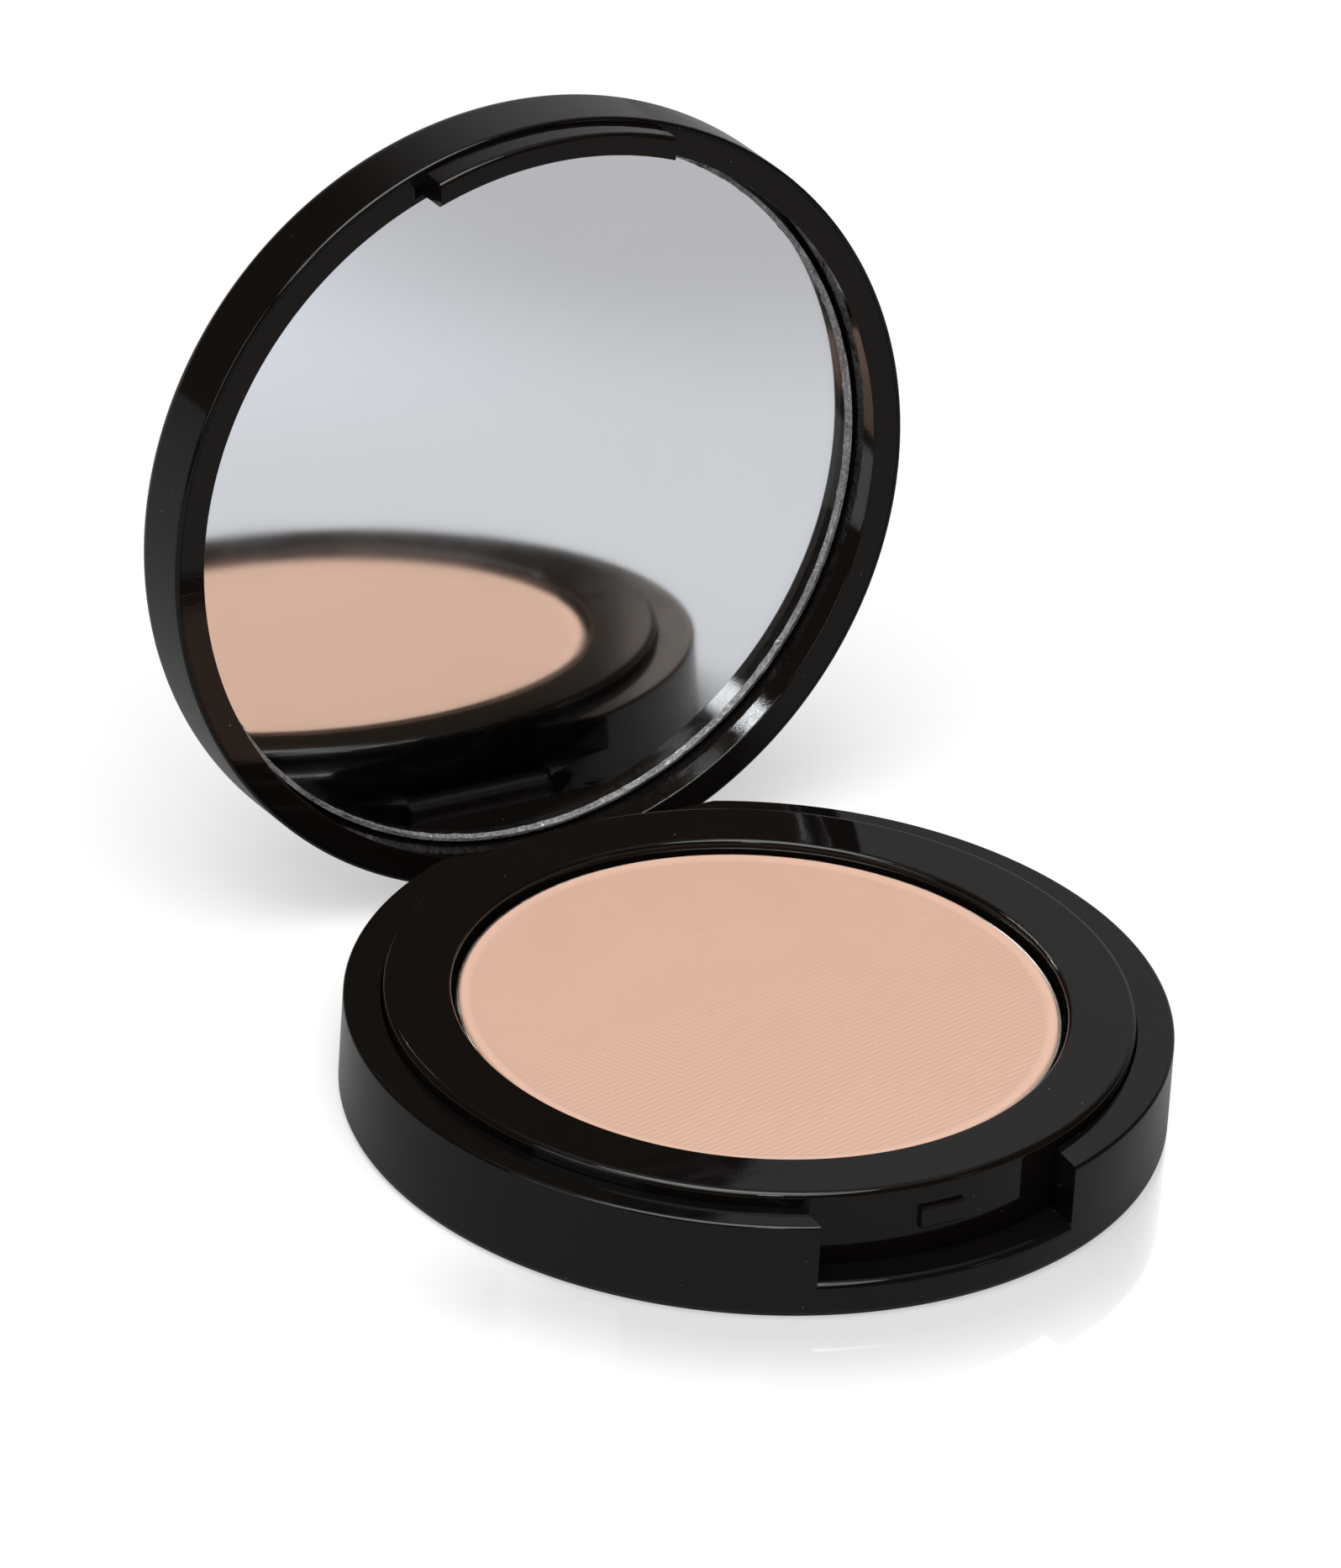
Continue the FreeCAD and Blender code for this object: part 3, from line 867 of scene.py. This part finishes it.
# ---------------------------------------------------------------- finishes on the CAD pieces
def finish_cad_pieces():
    coat("hinge_pin", drawn_metal("pin_wire", (0.62, 0.61, 0.60), 0.20, 0.42))
    coat("base_label", sheet_finish("blank_label", (0.018, 0.017, 0.017), (0.05, 0.05, 0.05), 0.35))
    tape = sheet_finish("adhesive_tape", (0.62, 0.60, 0.55), (0.78, 0.76, 0.70), 0.45)
    for node in ("pan_tape", "mirror_tape"):
        coat(node, tape)


# ---------------------------------------------------------------- floor, light and camera
FLOOR_SIZE = 3.0
FLOOR_WHITE = (0.94, 0.94, 0.945)
FLOOR_SHADE_IN_GLOSS = (0.26, 0.26, 0.26)   # painted shade: the table darker as the black mouldings reflect it
FLOOR_SHINE = 0.85            # how much of the polished table's look is reflection, close in front
SHINE_INNER, SHINE_OUTER = 39 * MM, 62 * MM
FLOOR_GLOW = 0.48             # evens out the shadows
MIRROR_LOOKS = (0.46, -0.89)  # the way over the table that the open mirror faces
# Painted shade on the table as the mirror shows it: close by, then further off on the left and the right.
MIRRORED_FLOOR_SHADE_NEAR = (0.53, 0.54, 0.57)
MIRRORED_FLOOR_SHADE_LEFT = (0.66, 0.69, 0.76)
MIRRORED_FLOOR_SHADE_RIGHT = (0.405, 0.405, 0.430)
SHINE_GLOW = 0.56             # keeps the reflecting part as white as the rest


def floor():
    """Pale polished table; as the mirror shows it, it carries painted shade, darker on its far side."""
    material, tree, bsdf = new_material("pale_floor")
    coords = own_coordinates(tree)
    split = tree.nodes.new("ShaderNodeSeparateXYZ")
    tree.links.new(coords, split.inputs[0])
    x, y = split.outputs[0], split.outputs[1]
    away = math_node(tree, "ADD", math_node(tree, "MULTIPLY", x, MIRROR_LOOKS[0]),
                     math_node(tree, "MULTIPLY", y, MIRROR_LOOKS[1]))
    # Painted shade: seen through the mirror glass, the table is darker, and more so further off.
    far = ramp(tree, away, 0.085, 0.16)
    far_floor_shade = blend_colour(tree, ramp(tree, x, 0.04, 0.10), MIRRORED_FLOOR_SHADE_LEFT, MIRRORED_FLOOR_SHADE_RIGHT)
    mirrored_floor_shade = blend_colour(tree, far, MIRRORED_FLOOR_SHADE_NEAR, far_floor_shade)
    path = tree.nodes.new("ShaderNodeLightPath").outputs
    seen = blend_colour(tree, path["Is Glossy Ray"], FLOOR_WHITE, FLOOR_SHADE_IN_GLOSS)
    seen = blend_colour(tree, path["Is Transmission Ray"], seen, mirrored_floor_shade)
    direct = path["Is Camera Ray"]
    radius = distance_from_axis(tree, x, y)
    near = math_node(tree, "MULTIPLY", ramp(tree, radius, SHINE_OUTER, SHINE_INNER),
                     ramp(tree, y, 5 * MM, -25 * MM))
    dimmed = blend_colour(tree, FLOOR_GLOW, FLOOR_WHITE, (0, 0, 0))
    dimmed = blend_colour(tree, near, dimmed, (1, 1, 1))
    tree.links.new(blend_colour(tree, direct, seen, dimmed), bsdf.inputs["Base Color"])
    tree.links.new(math_node(tree, "MULTIPLY", math_node(tree, "MULTIPLY", near, direct), FLOOR_SHINE),
                   bsdf.inputs["Metallic"])
    glow = ramp(tree, near, 0.0, 1.0, FLOOR_GLOW, SHINE_GLOW, smooth=False)
    lit = math_node(tree, "MULTIPLY", direct, glow)
    tree.links.new(blend_colour(tree, lit, (0, 0, 0), (1, 1, 1)), bsdf.inputs["Emission Color"])
    tree.links.new(ramp(tree, direct, 0.0, 1.0, 0.6, 0.07), bsdf.inputs["Roughness"])
    bsdf.inputs["Emission Strength"].default_value = 1.0
    bsdf.inputs["IOR"].default_value = GLASS_IOR
    h = FLOOR_SIZE / 2
    corners = [(-h, -h, 0), (h, -h, 0), (h, h, 0), (-h, h, 0)]
    plane = mesh_piece("floor", corners, [(0, 1, 2, 3)], [material])


ROOM_DIM = (0.058, 0.040, 0.026)
ROOM_BEHIND_RIGHT = (0.41, 0.41, 0.415)
ROOM_ABOVE = (0.5, 0.5, 0.51)
BACKDROP = (0.93, 0.93, 0.935)


def room():
    """Soft surroundings: light grey behind on the right, dim and warm elsewhere."""
    world = bpy.data.worlds.new("studio")
    bpy.context.scene.world = world
    world.use_nodes = True
    tree = world.node_tree
    background = tree.nodes["Background"]
    direction = tree.nodes.new("ShaderNodeTexCoord").outputs["Generated"]
    split = tree.nodes.new("ShaderNodeSeparateXYZ")
    tree.links.new(direction, split.inputs[0])
    behind = ramp(tree, split.outputs[1], 0.1, 0.6)
    right = ramp(tree, split.outputs[0], -0.15, 0.45)
    shine = math_node(tree, "MULTIPLY", behind, right)
    surround = blend_colour(tree, shine, ROOM_DIM, ROOM_BEHIND_RIGHT)
    above = ramp(tree, split.outputs[2], 0.75, 0.95)
    surround = blend_colour(tree, above, surround, ROOM_ABOVE)
    seen = tree.nodes.new("ShaderNodeLightPath").outputs["Is Camera Ray"]
    surround = blend_colour(tree, seen, surround, BACKDROP)
    tree.links.new(surround, background.inputs["Color"])


def soft_light(name, place_at, aim, size, watts, colour=(1, 1, 1)):
    lamp = bpy.data.lights.new(name, "AREA")
    lamp.shape = "DISK"
    lamp.size = size
    lamp.energy = watts
    lamp.color = colour
    rig = bpy.data.objects.new(name, lamp)
    rig.location = place_at
    rig.rotation_euler = (Vector(aim) - Vector(place_at)).to_track_quat("-Z", "Y").to_euler()
    bpy.context.scene.collection.objects.link(rig)


def wide_light(name, place_at, strength, spread, colour=(1, 1, 1)):
    """Even light over the whole floor, as soft as a big window."""
    lamp = bpy.data.lights.new(name, "SUN")
    lamp.energy = strength
    lamp.angle = math.radians(spread)
    lamp.color = colour
    rig = bpy.data.objects.new(name, lamp)
    rig.rotation_euler = (-Vector(place_at)).to_track_quat("-Z", "Y").to_euler()
    bpy.context.scene.collection.objects.link(rig)


def card_light(name, place_at, aim, width, height, glow, colour=(1, 1, 1)):
    """Evenly bright card; glow is how bright it looks beside the white floor."""
    lamp = bpy.data.lights.new(name, "AREA")
    lamp.shape = "RECTANGLE"
    lamp.size, lamp.size_y = width, height
    lamp.energy = glow * math.pi * width * height
    lamp.color = colour
    rig = bpy.data.objects.new(name, lamp)
    rig.location = place_at
    rig.rotation_euler = (Vector(aim) - Vector(place_at)).to_track_quat("-Z", "Y").to_euler()
    bpy.context.scene.collection.objects.link(rig)


def lights():
    card_light("warm_card", (0.275, -0.40, 0.175), (0.03, 0.01, 0.01), 0.06, 0.10, 0.8, (1.0, 0.88, 0.80))
    card_light("window_by_camera", (-0.509, -1.189, 0.954), (0.0, 0.01, 0.025), 0.17, 0.15, 20.0,
               (0.97, 0.98, 1.0))
    wide_light("wide_window", (-0.25, -0.35, 1.0), 2.66, 55, (1.0, 0.995, 0.985))
    soft_light("overhead_softbox", (-0.12, -0.10, 0.62), (0.0, 0.0, 0.0), 0.40, 1.1, (1.0, 0.99, 0.97))
    soft_light("left_softbox", (-0.55, -0.10, 0.32), (0.0, 0.0, 0.03), 0.35, 0.5, (0.95, 0.98, 1.0))


CAMERA_AZIMUTH = -30.436      # degrees
CAMERA_ELEVATION = 29.978
CAMERA_DISTANCE = 1.4573      # metres from the aim
CAMERA_AIM = Vector((0, 0.010, 0.025))
CAMERA_LENS = 371.84
CAMERA_PAN = -0.1686          # degrees, to the side of the aim
CAMERA_TILT = 0.0775
CAMERA_ROLL = 3.964


def camera():
    """Long lens, three-quarter view from the front left, slightly rolled."""
    a, e = math.radians(CAMERA_AZIMUTH), math.radians(CAMERA_ELEVATION)
    p, q, roll = (math.radians(v) for v in (CAMERA_PAN, CAMERA_TILT, CAMERA_ROLL))
    back = Vector((math.sin(a) * math.cos(e), -math.cos(a) * math.cos(e), math.sin(e)))
    ahead = -back
    side = ahead.cross(Vector((0, 0, 1))).normalized()
    up = side.cross(ahead)
    ahead = ahead * math.cos(p) * math.cos(q) + side * math.sin(p) * math.cos(q) + up * math.sin(q)
    side = ahead.cross(up).normalized()
    up = side.cross(ahead)
    side, up = side * math.cos(roll) + up * math.sin(roll), up * math.cos(roll) - side * math.sin(roll)
    data = bpy.data.cameras.new("camera")
    data.lens = CAMERA_LENS
    data.sensor_width = 36.0
    data.clip_start, data.clip_end = 0.05, 20.0
    rig = bpy.data.objects.new("camera", data)
    rig.matrix_world = Matrix((side, up, -ahead)).transposed().to_4x4()
    rig.location = CAMERA_AIM + back * CAMERA_DISTANCE
    bpy.context.scene.collection.objects.link(rig)
    bpy.context.scene.camera = rig


# ---------------------------------------------------------------- build it
finish_cad_pieces()
moulded_pieces()
powder_cake()
metal_pan()
lid_mirror()
floor()
room()
lights()
camera()
bpy.context.scene.view_settings.view_transform = "Standard"
bpy.context.scene.view_settings.look = "None"
